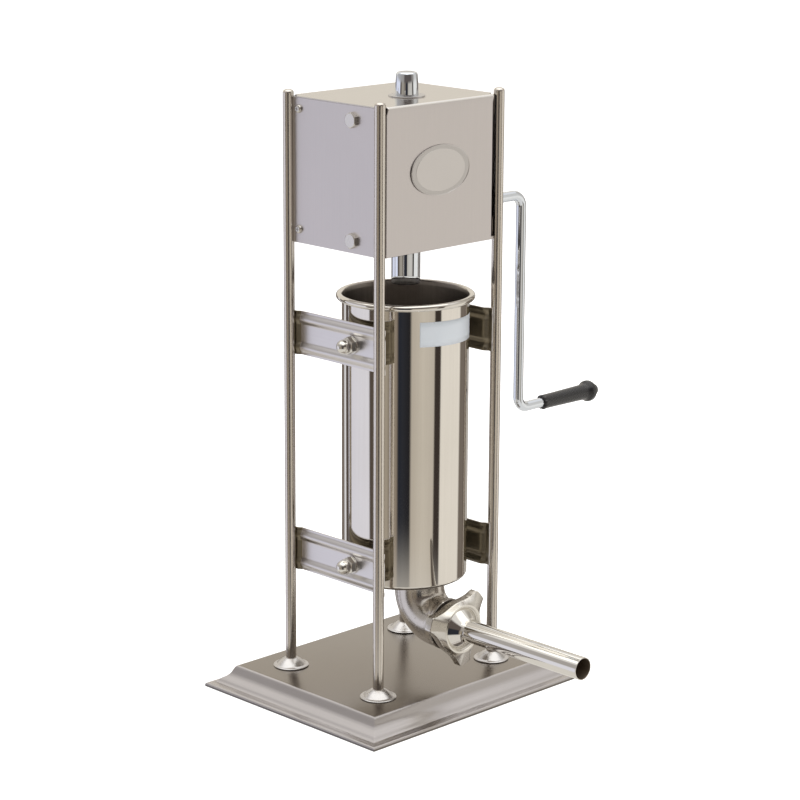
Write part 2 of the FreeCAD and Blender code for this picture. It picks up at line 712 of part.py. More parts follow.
def piston_seal():
    outline = [
        (PISTON_R - 3.5, 5.0), (PISTON_R - 0.2, 5.0), (CYL_R - CYL_WALL - 0.3, 6.4), (CYL_R - CYL_WALL - 0.3, 9.6),
        (PISTON_R - 0.2, 11.0), (PISTON_R - 3.5, 11.0),
    ]
    return spin(outline, V(0, AXIS_Y, PISTON_BASE))


def piston_boss():
    """Raised pad the ram pushes on, with a hand groove for lifting the piston out."""
    outline = [
        (0, 0), (22.0, 0), (22.0, 3.0), (17.0, 5.0), (15.0, 8.0), (15.0, 11.0), (18.5, 13.5), (19.5, 15.0),
        (18.8, 16.4), (17.4, 17.0), (0, 17.0),
    ]
    return spin(outline, V(0, AXIS_Y, PISTON_BASE + 14.0))


def piston_valve():
    """Loose air valve: lifts to let trapped air out, drops to seal."""
    outline = [
        (0, 3.5), (4.2, 3.5), (4.2, 14.0), (7.5, 14.0), (8.0, 14.6), (8.0, 16.4), (7.2, 17.2), (0, 17.6),
    ]
    return spin(outline, V(42.0, AXIS_Y, PISTON_BASE))


def build_parts():
    parts = {
        "base_plate": base_plate(),
        "cylinder": meat_cylinder(),
        "cylinder_label": cylinder_label(),
        "cylinder_bosses": both_sides(cylinder_boss),
        "bracket_studs": both_sides(stud),
        "bracket_washers": both_sides(stud_washer),
        "acorn_nuts": both_sides(acorn_nut),
        "outlet_elbow": outlet_elbow(),
        "outlet_gasket": outlet_gasket(),
        "stuffing_tube": stuffing_tube(),
        "wing_nut": wing_nut(),
        "gearbox_cover": gearbox_cover(),
        "gearbox_side_left": gearbox_side(),
        "gearbox_side_right": gearbox_side_right(),
        "gearbox_tray": gearbox_tray(),
        "gearbox_cleats": top_cleats(),
        "side_hex_bolts": side_fastener_group("hex", side_hex_bolt),
        "side_pan_screws": side_fastener_group("pan", side_pan_screw),
        "front_badge": front_badge(),
        "top_bush": top_bush(),
        "ram_nut": ram_nut(),
        "ram_nut_rivets": ram_nut_rivets(),
        "crown_washer": crown_washer(),
        "bearing_housing": bearing_housing(),
        "shaft_bushes": shaft_bushes(),
        "shaft_washer": shaft_washer(),
        "drive_shaft": drive_shaft(),
        "drive_pinion": drive_pinion(),
        "crown_wheel": crown_wheel(),
        "lock_screw": lock_screw(),
        "crank_rod": crank_rod(),
        "crank_grip": crank_grip(),
        "grip_screw": grip_screw(),
        "ram_sleeve": ram_sleeve(),
        "ram_rod": ram_rod(),
        "piston_plate": piston_plate(),
        "piston_seal": piston_seal(),
        "piston_boss": piston_boss(),
        "piston_valve": piston_valve(),
    }
    for name, x, y in post_positions():
        parts["post_" + name] = post(x, y)
        parts["foot_flange_" + name] = foot_flange(x, y)
    parts["post_washers"] = group(under_washer(x, y) for _, x, y in post_positions())
    parts["post_nuts"] = group(under_nut(x, y) for _, x, y in post_positions())
    for name, level in BRACKET_LEVELS.items():
        left = bracket(level)
        parts["bracket_" + name + "_left"] = left
        parts["bracket_" + name + "_right"] = mirror_x(left)
    return parts


os.makedirs("parts", exist_ok=True)
for node, shape in build_parts().items():
    shape.exportStep("parts/" + node + ".step")
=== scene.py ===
import math
import bpy
import bmesh
from mathutils import Euler, Matrix, Vector


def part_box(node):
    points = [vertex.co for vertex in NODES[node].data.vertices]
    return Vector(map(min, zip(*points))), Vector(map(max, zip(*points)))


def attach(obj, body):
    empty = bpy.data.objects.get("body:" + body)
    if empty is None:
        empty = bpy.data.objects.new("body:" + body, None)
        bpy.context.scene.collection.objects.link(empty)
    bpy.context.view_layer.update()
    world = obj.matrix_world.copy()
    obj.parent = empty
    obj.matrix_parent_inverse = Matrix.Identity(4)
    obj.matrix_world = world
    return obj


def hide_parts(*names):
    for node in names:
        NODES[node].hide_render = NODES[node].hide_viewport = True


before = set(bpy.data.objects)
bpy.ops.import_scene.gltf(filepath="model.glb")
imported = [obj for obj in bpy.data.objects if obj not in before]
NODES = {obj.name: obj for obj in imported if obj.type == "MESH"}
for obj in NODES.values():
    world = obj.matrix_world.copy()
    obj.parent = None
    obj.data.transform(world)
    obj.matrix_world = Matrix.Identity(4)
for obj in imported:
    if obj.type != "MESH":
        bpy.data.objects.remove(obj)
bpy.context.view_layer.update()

# Hand-cranked sausage stuffer. Mesh functions work in millimetres, and piece() turns them into metres.
# -Y is the front, where the meat comes out, and the crank is on +X.

UP = Vector((0, 0, 1))
RIGHT = Vector((1, 0, 0))
LEFT = Vector((-1, 0, 0))
FRONT = Vector((0, -1, 0))


# ---------------------------------------------------------------- shader recipes

class Field:
    """A shader socket that can be used in sums."""

    def __init__(self, recipe, socket):
        self.recipe = recipe
        self.socket = socket

    def sum(self, operation, *others):
        inputs = dict(enumerate((self,) + others))
        return self.recipe.add("ShaderNodeMath", {"operation": operation}, inputs).out()

    def flipped(self, operation, other):
        return self.recipe.add("ShaderNodeMath", {"operation": operation}, {0: other, 1: self}).out()

    def __add__(self, other):
        return self.sum("ADD", other)

    def __radd__(self, other):
        return self.sum("ADD", other)

    def __sub__(self, other):
        return self.sum("SUBTRACT", other)

    def __rsub__(self, other):
        return self.flipped("SUBTRACT", other)

    def __mul__(self, other):
        return self.sum("MULTIPLY", other)

    def __rmul__(self, other):
        return self.sum("MULTIPLY", other)

    def __truediv__(self, other):
        return self.sum("DIVIDE", other)

    def above(self, low, high):
        """0 below low, 1 over high, smooth between."""
        settings = {"interpolation_type": "SMOOTHSTEP"}
        node = self.recipe.add("ShaderNodeMapRange", settings, {0: self, 1: low, 2: high, 3: 0.0, 4: 1.0})
        return node.out()


class Step:
    """One shader node inside a recipe."""

    def __init__(self, recipe, node):
        self.recipe = recipe
        self.node = node

    def out(self, which=0):
        return Field(self.recipe, self.node.outputs[which])


class Recipe:
    """Builds one node tree, for a material or for the world."""

    def __init__(self, owner):
        owner.use_nodes = True
        self.tree = owner.node_tree
        self.tree.nodes.clear()

    def add(self, kind, settings=None, inputs=None):
        node = self.tree.nodes.new(kind)
        for name, value in (settings or {}).items():
            if name == "stops":
                self.set_stops(node.color_ramp, value)
            elif name == "ramp_blend":
                node.color_ramp.interpolation = value
            else:
                setattr(node, name, value)
        for name, value in (inputs or {}).items():
            socket = node.inputs[name]
            if isinstance(value, Field):
                self.tree.links.new(value.socket, socket)
            else:
                socket.default_value = value
        return Step(self, node)

    @staticmethod
    def set_stops(ramp, stops):
        while len(ramp.elements) < len(stops):
            ramp.elements.new(0.5)
        for element, (place, colour) in zip(ramp.elements, stops):
            element.position = place
            element.color = tuple(colour) + (1.0,)

    def place(self, stretch=(1.0, 1.0, 1.0), turn=(0.0, 0.0, 0.0)):
        """Object coordinates, stretched and turned."""
        coordinates = self.add("ShaderNodeTexCoord").out("Object")
        inputs = {"Vector": coordinates, "Rotation": turn, "Scale": stretch}
        return self.add("ShaderNodeMapping", {"vector_type": "POINT"}, inputs).out()

    def noise(self, where, scale=1.0, detail=3.0, roughness=0.55):
        inputs = {"Vector": where, "Scale": scale, "Detail": detail, "Roughness": roughness}
        return self.add("ShaderNodeTexNoise", None, inputs).out("Fac")

    def blend(self, factor, first, second):
        """Colour mix."""
        settings = {"data_type": "RGBA", "clamp_factor": True}
        node = self.add("ShaderNodeMix", settings, {0: factor, 6: first, 7: second})
        return node.out(2)

    def bump(self, height, strength, distance=0.0004):
        inputs = {"Height": height, "Strength": strength, "Distance": distance}
        return self.add("ShaderNodeBump", None, inputs).out()


def surface(name, shader):
    """A new material with a Principled shader fed by the function shader."""
    material = bpy.data.materials.new(name)
    recipe = Recipe(material)
    sockets = shader(recipe)
    principled = recipe.add("ShaderNodeBsdfPrincipled", None, sockets)
    recipe.add("ShaderNodeOutputMaterial", None, {"Surface": principled.out()})
    return material


def rgb(red, green, blue):
    return (red, green, blue, 1.0)


def metal(name, light, dark, rough, grain=(900, 900, 12), grain_bump=0.06, grain_rough=0.10, smudge=0.05,
          tint_scale=9.0):
    """Steel with drawn grain lines, faint smudges and slow colour drift."""
    def shader(r):
        lines = r.noise(r.place(grain), 1.0, 4.0, 0.6)
        patches = r.noise(r.place(), tint_scale, 4.0, 0.6)
        fine = r.noise(r.place(), 70.0, 3.0, 0.5)
        colour = r.blend((lines * 0.45 + patches * 0.55).above(0.3, 0.7), dark, light)
        finish = rough + (lines - 0.5) * grain_rough + (patches - 0.45).above(0.0, 0.35) * smudge
        finish = finish + (fine - 0.5) * smudge * 0.5
        return {"Base Color": colour, "Metallic": 1.0, "Roughness": finish,
                "Normal": r.bump(lines, grain_bump, 0.0002)}
    return surface(name, shader)


def casting(name, light, dark, rough, pit=0.25):
    """Polished casting: softly uneven, with a few shallow pits and duller hollows."""
    def shader(r):
        waves = r.noise(r.place(), 55.0, 3.0, 0.5)
        pits = r.noise(r.place(), 420.0, 2.0, 0.5).above(0.62, 0.78)
        patches = r.noise(r.place(), 24.0, 4.0, 0.6)
        colour = r.blend(patches.above(0.35, 0.65), dark, light)
        finish = rough + patches * 0.08 + pits * 0.2
        return {"Base Color": colour, "Metallic": 1.0, "Roughness": finish,
                "Normal": r.bump(waves * 0.8 - pits * 0.25, pit, 0.0006)}
    return surface(name, shader)


def moulded(name, light, dark, rough, coat=0.0, grain=0.1, grain_scale=900.0):
    """Plastic or rubber with a fine moulded grain and slight scuffing."""
    def shader(r):
        grainy = r.noise(r.place(), grain_scale, 2.0, 0.5)
        scuff = r.noise(r.place((260, 40, 260)), 1.0, 4.0, 0.65).above(0.56, 0.8)
        patches = r.noise(r.place(), 30.0, 3.0, 0.5)
        colour = r.blend((patches * 0.5 + scuff * 0.5).above(0.2, 0.9), dark, light)
        return {"Base Color": colour, "Roughness": rough + scuff * 0.14 + (grainy - 0.5) * 0.06,
                "Coat Weight": coat, "Normal": r.bump(grainy, grain, 0.0001)}
    return surface(name, shader)


MIRROR = metal("mirror_steel", rgb(0.80, 0.770, 0.725), rgb(0.75, 0.720, 0.675), 0.055,
               grain=(260, 260, 5), grain_bump=0.010, grain_rough=0.03, smudge=0.02)
# Dark copy of the pot steel for the inside wall and floor: painted shade inside the cylinder.
SHADED_INSIDE = metal("inside_painted_shade_steel", rgb(0.34, 0.31, 0.285), rgb(0.26, 0.235, 0.215), 0.34,
               grain=(300, 300, 4), grain_bump=0.02, grain_rough=0.10, smudge=0.03)
TUBE = metal("tube_steel", rgb(0.82, 0.80, 0.76), rgb(0.77, 0.75, 0.71), 0.06,
             grain=(500, 6, 500), grain_bump=0.01, grain_rough=0.03, smudge=0.02)
# Dark, dull steel for the bore of the stuffing tube: painted shade inside the tube.
SHADED_BORE = metal("tube_bore_painted_shade_steel", rgb(0.42, 0.35, 0.28), rgb(0.34, 0.28, 0.22), 0.55,
             grain=(500, 6, 500), grain_bump=0.02, grain_rough=0.05, smudge=0.03)
POST = metal("post_steel", rgb(0.76, 0.715, 0.665), rgb(0.71, 0.670, 0.620), 0.20,
             grain=(500, 500, 5), grain_bump=0.010, grain_rough=0.03, smudge=0.02)
PANEL = metal("panel_steel", rgb(0.66, 0.625, 0.62), rgb(0.625, 0.595, 0.59), 0.34,
              grain=(900, 900, 10), grain_bump=0.03, grain_rough=0.05, smudge=0.02)
# Much darker copy of the pan steel for the flat top of the base: painted shade standing in for its dim
# reflection.
SHADED_BASE_TOP = metal("base_steel", rgb(0.335, 0.303, 0.272), rgb(0.310, 0.282, 0.254), 0.24,
             grain=(10, 900, 900), grain_bump=0.012, grain_rough=0.04, smudge=0.02, tint_scale=4.0)
SKIRT = metal("skirt_steel", rgb(0.57, 0.545, 0.54), rgb(0.54, 0.515, 0.51), 0.25,
              grain=(10, 10, 900), grain_bump=0.006, grain_rough=0.03, smudge=0.02, tint_scale=6.0)
# Near-black steel for the bottom band of the base pan: painted shade along its undercut edge.
SHADED_PAN_EDGE = metal("pan_edge_painted_shade_steel", rgb(0.20, 0.185, 0.17), rgb(0.15, 0.14, 0.13), 0.35,
                   grain=(10, 10, 900), grain_bump=0.02, grain_rough=0.05, smudge=0.03)
# Near-white steel for the rounded fold along the top edges of the cover: a painted highlight.
FOLD_HIGHLIGHT = metal("fold_painted_highlight_steel", rgb(0.98, 0.965, 0.945), rgb(0.95, 0.935, 0.915), 0.22,
             grain=(10, 700, 700), grain_bump=0.01, grain_rough=0.04, smudge=0.02)
BRACKET = metal("bracket_steel", rgb(0.75, 0.73, 0.735), rgb(0.71, 0.69, 0.695), 0.30,
                grain=(700, 10, 700), grain_bump=0.03, grain_rough=0.05, smudge=0.03)
# Lighter, warmer and glossier copy of the panel steel for the top face of the folded cover: painted light on the
# top.
LIT_LID = metal("lid_painted_light_steel", rgb(0.70, 0.670, 0.630), rgb(0.66, 0.63, 0.595), 0.17,
            grain=(10, 700, 700), grain_bump=0.012, grain_rough=0.04, smudge=0.03)
# Dark brown copy of the bracket steel: painted shade on the rear joggles and the inner faces of the brackets.
BRACKET_SHADE = metal("bracket_painted_shade_steel", rgb(0.30, 0.265, 0.20), rgb(0.24, 0.21, 0.155), 0.42,
                     grain=(700, 10, 700), grain_bump=0.04, grain_rough=0.06, smudge=0.04)
FLANGE = metal("flange_steel", rgb(0.66, 0.645, 0.645), rgb(0.60, 0.585, 0.585), 0.27,
               grain=(500, 500, 500), grain_bump=0.02, grain_rough=0.05, smudge=0.05)
CHROME = metal("chrome", rgb(0.82, 0.865, 0.93), rgb(0.78, 0.825, 0.89), 0.035,
               grain=(300, 300, 300), grain_bump=0.004, grain_rough=0.02, smudge=0.02)
CHROME_NUT = metal("nut_chrome", rgb(0.80, 0.78, 0.74), rgb(0.74, 0.72, 0.68), 0.09,
                   grain=(500, 500, 500), grain_bump=0.01, grain_rough=0.03, smudge=0.04)
FASTENER = metal("fastener_steel", rgb(0.72, 0.70, 0.67), rgb(0.60, 0.58, 0.55), 0.20,
                 grain=(700, 700, 700), grain_bump=0.03, grain_rough=0.08, smudge=0.08)
GEAR = metal("gear_steel", rgb(0.42, 0.42, 0.43), rgb(0.30, 0.30, 0.31), 0.30,
             grain=(800, 800, 60), grain_bump=0.05, grain_rough=0.1, smudge=0.1)
BRONZE = metal("bearing_bronze", rgb(0.62, 0.42, 0.20), rgb(0.50, 0.33, 0.16), 0.28,
               grain=(60, 60, 900), grain_bump=0.05, grain_rough=0.1, smudge=0.1)
BADGE = metal("badge_plate", rgb(0.71, 0.685, 0.675), rgb(0.68, 0.655, 0.645), 0.36,
              grain=(700, 700, 700), grain_bump=0.02, grain_rough=0.06, smudge=0.04)
BADGE_BORDER = metal("badge_border", rgb(0.63, 0.61, 0.60), rgb(0.58, 0.565, 0.555), 0.40,
                     grain=(700, 700, 700), grain_bump=0.04, grain_rough=0.06, smudge=0.04)
CAST = casting("cast_outlet", rgb(0.70, 0.665, 0.62), rgb(0.64, 0.605, 0.56), 0.19, pit=0.07)
CAST_NUT = casting("cast_wing_nut", rgb(0.78, 0.755, 0.71), rgb(0.72, 0.695, 0.65), 0.20, pit=0.08)
CAST_THREAD = casting("cast_thread", rgb(0.30, 0.275, 0.25), rgb(0.22, 0.20, 0.18), 0.30, pit=0.1)
HOUSING = casting("cast_housing", rgb(0.26, 0.26, 0.27), rgb(0.18, 0.18, 0.19), 0.5, pit=0.5)
GRIP = moulded("grip_plastic", rgb(0.022, 0.022, 0.024), rgb(0.010, 0.010, 0.011), 0.27, coat=0.2)
NYLON = moulded("bearing_nylon", rgb(0.82, 0.80, 0.75), rgb(0.74, 0.72, 0.68), 0.5)
PISTON = moulded("piston_plastic", rgb(0.84, 0.84, 0.81), rgb(0.77, 0.77, 0.74), 0.42)
SEAL = moulded("seal_rubber", rgb(0.55, 0.13, 0.09), rgb(0.46, 0.10, 0.07), 0.5, grain=0.2)
LABEL = moulded("label_film", rgb(0.50, 0.525, 0.55), rgb(0.46, 0.485, 0.51), 0.34, coat=0.3, grain=0.03)


# ---------------------------------------------------------------- mesh helpers, in millimetres

def span(node):
    """Lowest and highest corner of a node, in millimetres."""
    low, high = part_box(node)
    return Vector(low) * 1000.0, Vector(high) * 1000.0


def middle(node):
    low, high = span(node)
    return (low + high) / 2.0


AXIS_Y = middle("ram_rod").y
POST_X = middle("post_front_right").x
POST_Y = -middle("post_front_right").y
BRACKET_LEVELS = (middle("bracket_lower_left").z, middle("bracket_upper_left").z)
OUTLET_Y = -44.0
OUTLET_Z = middle("stuffing_tube").z
OUTLET_BEND = 33.0
OUTLET_BACK = OUTLET_BEND - OUTLET_Y
OUTLET_BORE = 22.0
POT_R = 70.0
POT_SHEET = 1.5
CRANK_X = 184.0
FOLD_R = 2.6
NOTCH_R = 10.2


def standing_on(origin, axis):
    """Matrix that takes local +Z to axis and the local origin to origin."""
    turn = UP.rotation_difference(axis).to_matrix().to_4x4()
    return Matrix.Translation(origin) @ turn


def turned(profile, origin, axis=UP, steps=96, into=None):
    """Spins a (radius, height[, rounding]) profile about the axis through origin."""
    bm = bmesh.new()
    verts = [bm.verts.new((point[0], 0.0, point[1])) for point in profile]
    for first, second in zip(verts, verts[1:]):
        bm.edges.new((first, second))
    for vert, point in zip(verts, profile):
        if len(point) > 2:
            bmesh.ops.bevel(bm, geom=[vert], offset=point[2], segments=5, affect="VERTICES", profile=0.5,
                            material=-1)
    bmesh.ops.spin(bm, geom=bm.verts[:] + bm.edges[:], cent=(0, 0, 0), axis=(0, 0, 1), angle=2 * math.pi,
                   steps=steps, use_merge=True, use_duplicate=False)
    bmesh.ops.remove_doubles(bm, verts=bm.verts, dist=0.0005)
    bmesh.ops.recalc_face_normals(bm, faces=bm.faces)
    bmesh.ops.transform(bm, matrix=standing_on(origin, axis), verts=bm.verts)
    return poured(bm, into)


def poured(bm, into):
    """Adds bm to the mesh being gathered, or returns it as it is."""
    if into is None:
        return bm
    mesh = bpy.data.meshes.new("poured")
    bm.to_mesh(mesh)
    bm.free()
    into.from_mesh(mesh)
    bpy.data.meshes.remove(mesh)
    return into


def grown(bm, edges):
    """Extrudes an edge loop in place and returns the new vertices and edges."""
    geom = bmesh.ops.extrude_edge_only(bm, edges=edges)["geom"]
    verts = [item for item in geom if isinstance(item, bmesh.types.BMVert)]
    fresh = [item for item in geom if isinstance(item, bmesh.types.BMEdge)
             and item.verts[0] in verts and item.verts[1] in verts]
    return verts, fresh


def stacked(rings, origin, axis=UP, segments=96, closed=(True, True), into=None):
    """Skins rings given as functions of the angle that return (radius, height)."""
    bm = bmesh.new()
    bmesh.ops.create_circle(bm, segments=segments, radius=1.0, cap_ends=False)
    shape_ring(bm.verts[:], rings[0])
    edges = bm.edges[:]
    first = edges
    for ring in rings[1:]:
        verts, edges = grown(bm, edges)
        shape_ring(verts, ring)
    for wanted, loop in zip(closed, (first, edges)):
        if wanted:
            bmesh.ops.contextual_create(bm, geom=loop)
    bmesh.ops.recalc_face_normals(bm, faces=bm.faces)
    bmesh.ops.transform(bm, matrix=standing_on(origin, axis), verts=bm.verts)
    return poured(bm, into)


def shape_ring(verts, ring):
    for vert in verts:
        angle = math.atan2(vert.co.y, vert.co.x)
        radius, height = ring(angle)
        vert.co = (radius * math.cos(angle), radius * math.sin(angle), height)


def round_ring(radius, height):
    return lambda angle: (radius, height)


def piece(name, bm, material, body, nodes, sharp=38.0):
    """Turns a millimetre mesh into a finished object that stands for the given nodes."""
    bmesh.ops.scale(bm, vec=(0.001, 0.001, 0.001), verts=bm.verts)
    mesh = bpy.data.meshes.new(name)
    bm.to_mesh(mesh)
    bm.free()
    mesh.shade_smooth()
    mesh.set_sharp_from_angle(angle=math.radians(sharp))
    obj = bpy.data.objects.new(name, mesh)
    bpy.context.scene.collection.objects.link(obj)
    materials = material if isinstance(material, (list, tuple)) else [material]
    for each in materials:
        mesh.materials.append(each)
    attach(obj, body)
    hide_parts(*nodes)
    return obj


def sheet_wall(obj, name, thickness):
    """Gives an open mesh its sheet thickness, inwards, in millimetres."""
    wall = obj.modifiers.new(name, "SOLIDIFY")
    wall.thickness = thickness / 1000.0
    wall.offset = -1.0
    return wall


def broken_edges(obj, name, width, segments, over):
    """Rounds the edges that turn by more than this many degrees; the width is in millimetres."""
    edge = obj.modifiers.new(name, "BEVEL")
    edge.width = width / 1000.0
    edge.segments = segments
    edge.limit_method = "ANGLE"
    edge.angle_limit = math.radians(over)
    edge.harden_normals = True


def mirrored(bm):
    """Adds the mirror image across the plane x = 0."""
    twin = bmesh.ops.duplicate(bm, geom=bm.verts[:] + bm.edges[:] + bm.faces[:])["geom"]
    verts = [item for item in twin if isinstance(item, bmesh.types.BMVert)]
    faces = [item for item in twin if isinstance(item, bmesh.types.BMFace)]
    bmesh.ops.scale(bm, vec=(-1, 1, 1), verts=verts)
    bmesh.ops.reverse_faces(bm, faces=faces)
    return bm


# ---------------------------------------------------------------- base and posts

BASE_STEPS = [
    (0.0, 25.0), (1.0, 24.75), (1.9, 24.1), (2.9, 22.8), (3.6, 21.4), (4.2, 20.2), (4.9, 18.6), (5.6, 17.2),
    (6.7, 15.5), (8.0, 14.1), (9.2, 12.9), (10.5, 12.0), (11.8, 11.2), (13.0, 10.5), (14.2, 9.7),
    (15.2, 8.8), (16.0, 7.9), (16.8, 7.0), (17.6, 6.3), (18.6, 5.6), (19.8, 5.1), (21.2, 4.75), (22.6, 4.6),
    (24.0, 4.4), (25.2, 4.1), (26.2, 3.5), (26.8, 2.8), (27.0, 2.2), (27.0, 0.0),
]


def base_pan():
    low, high = span("base_plate")
    half_x = high.x - BASE_STEPS[-1][0]
    half_y = high.y - BASE_STEPS[-1][0]
    bm = bmesh.new()
    bmesh.ops.create_grid(bm, x_segments=1, y_segments=1, size=1.0)
    step_to(bm.verts[:], half_x, half_y, BASE_STEPS[0])
    edges = bm.edges[:]
    for step in BASE_STEPS[1:]:
        verts, edges = grown(bm, edges)
        step_to(verts, half_x, half_y, step)
    bmesh.ops.recalc_face_normals(bm, faces=bm.faces)
    # The flat top takes the darkened base steel, which is painted shade; the sloped sides take the skirt steel.
    for face in bm.faces:
        level = face.calc_center_median().z
        # Faces below 1.9 mm take the near-black edge steel, which is painted shade.
        face.material_index = 0 if level > high.z - 0.01 else 1 if level > 1.9 else 2
    pan = piece("base_pan", bm, [SHADED_BASE_TOP, SKIRT, SHADED_PAN_EDGE], "frame", ["base_plate"], sharp=40.0)
    sheet_wall(pan, "sheet", 1.5).use_even_offset = True
    broken_edges(pan, "mitres", 0.9, 2, 40)


def step_to(verts, half_x, half_y, step):
    out, height = step
    for vert in verts:
        vert.co = (math.copysign(half_x + out, vert.co.x), math.copysign(half_y + out, vert.co.y), height)


def posts_and_flanges():
    for corner in ("front_left", "front_right", "rear_left", "rear_right"):
        low, high = span("post_" + corner)
        centre = Vector(((low.x + high.x) / 2, (low.y + high.y) / 2, 0))
        r = (high.x - low.x) / 2
        top = high.z
        rod = [(0, low.z), (r, low.z, 0.6), (r, top - 3.8), (r * 0.985, top - 3.0), (r * 0.93, top - 2.1),
               (r * 0.82, top - 1.25), (r * 0.64, top - 0.6), (r * 0.38, top - 0.17), (0, top)]
        piece("post_" + corner + "_bar", turned(rod, centre, steps=64), POST, "frame",
              ["post_" + corner], sharp=60.0)
        low, high = span("foot_flange_" + corner)
        bell = [(r, 0), (19.2, 0, 0.2), (20.0, 0.7), (20.0, 1.1), (19.4, 1.65, 0.2), (17.4, 1.9), (16.4, 2.2),
                (15.6, 2.9), (14.4, 4.2), (13.0, 5.5), (11.4, 6.8), (9.8, 7.9), (8.4, 8.75), (7.4, 9.3),
                (6.8, 9.55), (r, 9.6)]
        piece("foot_flange_" + corner + "_bell", turned(bell, Vector((centre.x, centre.y, low.z)), steps=72),
              FLANGE, "frame", ["foot_flange_" + corner], sharp=45.0)


# ---------------------------------------------------------------- brackets

def bracket_strip(node):
    """Pressed strip with two outward ribs and joggled ends, as a grid given thickness."""
    low, high = span(node)
    side = 1.0 if middle(node).x > 0 else -1.0
    level = (low.z + high.z) / 2.0
    half_high = (high.z - low.z) / 2.0
    plain_x = 80.4
    rib_r = 5.9
    bm = bmesh.new()
    bmesh.ops.create_grid(bm, x_segments=160, y_segments=60, size=1.0)
    for vert in bm.verts:
        y = vert.co.x * high.y
        dz = vert.co.y * half_high
        end = min(1.0, max(0.0, (abs(y) - 61.0) / 6.0))
        joggle = 3.5 * end * end * (3 - 2 * end)
        rib = 0.0
        for centre in (-16.0, 16.0):
            past = max(0.0, abs(y) - 66.5)
            away = math.hypot(dz - centre, past * 0.9)
            if away < rib_r:
                rib = 2.9 * math.cos(away / rib_r * math.pi / 2) ** 1.1
        rib *= 1.0 - 0.5 * end
        vert.co = (side * (plain_x + joggle + rib), y, level + dz)
    bmesh.ops.recalc_face_normals(bm, faces=bm.faces)
    if (bm.faces[0].normal.x > 0) != (side > 0):
        bmesh.ops.reverse_faces(bm, faces=bm.faces)
    # Faces past y = 61.3 take the dark bracket steel as painted shade; the material offset of the sheet wall
    # below gives the inner face the same painted shade.
    for face in bm.faces:
        face.material_index = 1 if face.calc_center_median().y > 61.3 else 0
    strip = piece(node + "_strip", bm, [BRACKET, BRACKET_SHADE], "frame", [node], sharp=50.0)
    sheet_wall(strip, "sheet", 2.0).material_offset = 1
    broken_edges(strip, "rounded_rim", 0.5, 2, 60)


def hex_wave(flat):
    """Radius of a hexagon with the given half width across flats."""
    def radius(angle):
        part = (angle + math.pi) % (math.pi / 3) - math.pi / 6
        return flat / math.cos(part)
    return radius


def hex_rings(flat, height, rim=0.95):
    """Rings of a hexagon prism whose far end is turned to a chamfer."""
    wave = hex_wave(flat)
    slope = math.tan(math.radians(30))
    return [
        round_ring(flat * 0.5, 0.0),
        lambda angle: (wave(angle) - 0.25, 0.0),
        lambda angle: (wave(angle), 0.25),
        lambda angle: (wave(angle), height - (wave(angle) - flat * rim) * slope),
        round_ring(flat * rim, height),
    ]


def acorn_nuts():
    bm = bmesh.new()
    root = Vector((span("acorn_nuts")[0].x + 19.0, middle("acorn_nuts").y, 0))
    for level in BRACKET_LEVELS:
        rings = hex_rings(8.5, 7.0)[:-1]
        rings += [round_ring(8.15, 7.0), round_ring(7.8, 7.15), round_ring(7.75, 7.8)]
        for radius, height in ((7.9, 10.0), (7.8, 11.6), (7.5, 13.0), (6.9, 14.5), (6.0, 16.0), (4.8, 17.3),
                               (3.2, 18.35), (1.4, 18.9)):
            rings.append(round_ring(radius, height))
        stacked(rings, root + UP * level, LEFT, segments=72, into=bm)
    piece("acorn_nut_set", mirrored(bm), CHROME_NUT, "frame", ["acorn_nuts"], sharp=28.0)


def bracket_washers():
    bm = bmesh.new()
    thick = 2.0
    root = Vector((span("bracket_washers")[0].x + thick, middle("bracket_washers").y, 0))
    ring = [(5.0, 0), (10.0, 0, 0.3), (10.0, thick, 0.4), (5.0, thick), (5.0, 0)]
    for level in BRACKET_LEVELS:
        turned(ring, root + UP * level, LEFT, steps=64, into=bm)
    piece("bracket_washer_set", mirrored(bm), FASTENER, "frame", ["bracket_washers"])


# ---------------------------------------------------------------- cylinder and outlet

def meat_cylinder():
    """Thin drawn pot with a rolled rim; the floor has the off-centre outlet hole."""
    low, high = span("cylinder")
    axis = Vector((0, AXIS_Y, 0))
    foot = low.z
    rim = high.z
    bead_r = 3.6
    bead_at = (72.8, rim - bead_r)
    floor_r = 60.0
    inner_r = POT_R - POT_SHEET
    profile = [(floor_r, foot), (POT_R, foot, 4.6), (POT_R, rim - bead_r - 2.9)]
    for turn in range(-110, 176, 15):
        angle = math.radians(turn)
        profile.append((bead_at[0] + bead_r * math.cos(angle), bead_at[1] + bead_r * math.sin(angle)))
    profile += [(inner_r + 0.4, rim - 4.6), (inner_r, rim - 6.5), (inner_r, foot + POT_SHEET, 4.0),
                (floor_r, foot + POT_SHEET)]
    bm = turned(profile, axis, steps=192)
    pour_hole(bm, foot)
    pour_hole(bm, foot + POT_SHEET)
    bmesh.ops.recalc_face_normals(bm, faces=bm.faces)
    # Inside faces below the rim take the dark inside steel, which is painted shade.
    for face in bm.faces:
        at = face.calc_center_median() - axis
        inner = math.hypot(at.x, at.y) < 69.8 and at.z > foot + 1.0
        face.material_index = 1 if inner and at.z < rim - 1.6 else 0
    piece("cylinder_pot", bm, [MIRROR, SHADED_INSIDE], "frame", ["cylinder"], sharp=50.0)


def pour_hole(bm, level):
    """Closes the round floor edge at this level down to the outlet hole."""
    rim = [e for e in bm.edges if e.is_boundary and all(abs(v.co.z - level) < 0.01 for v in e.verts)]
    made = bmesh.ops.create_circle(bm, segments=192, radius=OUTLET_BORE, cap_ends=False,
                                   matrix=Matrix.Translation((0, OUTLET_Y, level)))
    hole = list({edge for vert in made["verts"] for edge in vert.link_edges})
    bmesh.ops.bridge_loops(bm, edges=rim + hole)


